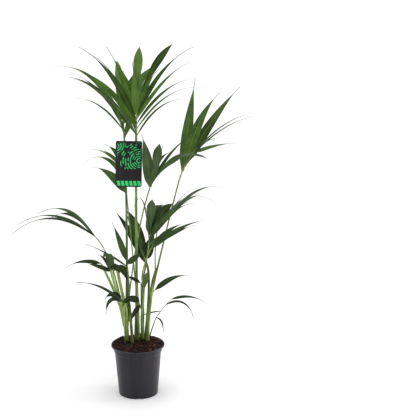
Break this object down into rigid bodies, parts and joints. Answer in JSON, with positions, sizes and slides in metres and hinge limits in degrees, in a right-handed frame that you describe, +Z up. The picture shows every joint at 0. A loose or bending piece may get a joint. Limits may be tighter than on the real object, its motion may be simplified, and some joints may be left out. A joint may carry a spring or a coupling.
{
  "type": "potted kentia palm",
  "caption": "Clump-planted feather-leaved palm with slender green stems and long drooping leaflets, in a round plastic nursery pot with a blank-patterned hang tag.",
  "frame": {"origin": "centre of the pot's flat underside", "axes": "+Z up along the plant, -Y towards the viewer of the front, +X to that viewer's right"},
  "size_m": [0.8213, 0.637, 1.1957],
  "materials": {
    "pot": "satin",
    "soil": "rough",
    "stem": "smooth",
    "stalk": "smooth",
    "frond": "satin",
    "tag": "gloss"
  },
  "bodies": {
    "root": {"pot": "pot", "soil": "soil", "stem_left": "stem", "stem_left_inner": "stem", "stem_middle": "stem", "stem_right": "stem", "stem_right_inner": "stem", "stalk_behind_tag": "stalk", "stalk_centre": "stalk", "stalk_centre_low": "stalk", "stalk_core": "stalk", "stalk_core_left": "stalk", "stalk_leaf_core": "stalk", "stalk_left_arch": "stalk", "stalk_left_droop": "stalk", "stalk_left_low": "stalk", "stalk_left_pale": "stalk", "stalk_left_sprig": "stalk", "stalk_low_arch": "stalk", "stalk_middle": "stalk", "stalk_right_spray": "stalk", "stalk_right_tall": "stalk", "stalk_sprout": "stalk", "stalk_top_back": "stalk", "stalk_top_front": "stalk", "stalk_young_spear": "stalk", "frond_behind_tag": "frond", "frond_centre": "frond", "frond_centre_low": "frond", "frond_core": "frond", "frond_core_left": "frond", "frond_leaf_core": "frond", "frond_leaf_right": "frond", "frond_left_arch": "frond", "frond_left_droop": "frond", "frond_left_low": "frond", "frond_left_pale": "frond", "frond_left_sprig": "frond", "frond_low_arch": "frond", "frond_middle": "frond", "frond_right_spray": "frond", "frond_right_tall": "frond", "frond_sprout": "frond", "frond_top_back": "frond", "frond_top_front": "frond", "frond_young_spear": "frond", "tag_card": "tag", "tag_strap": "tag"}
  },
  "joints": []
}
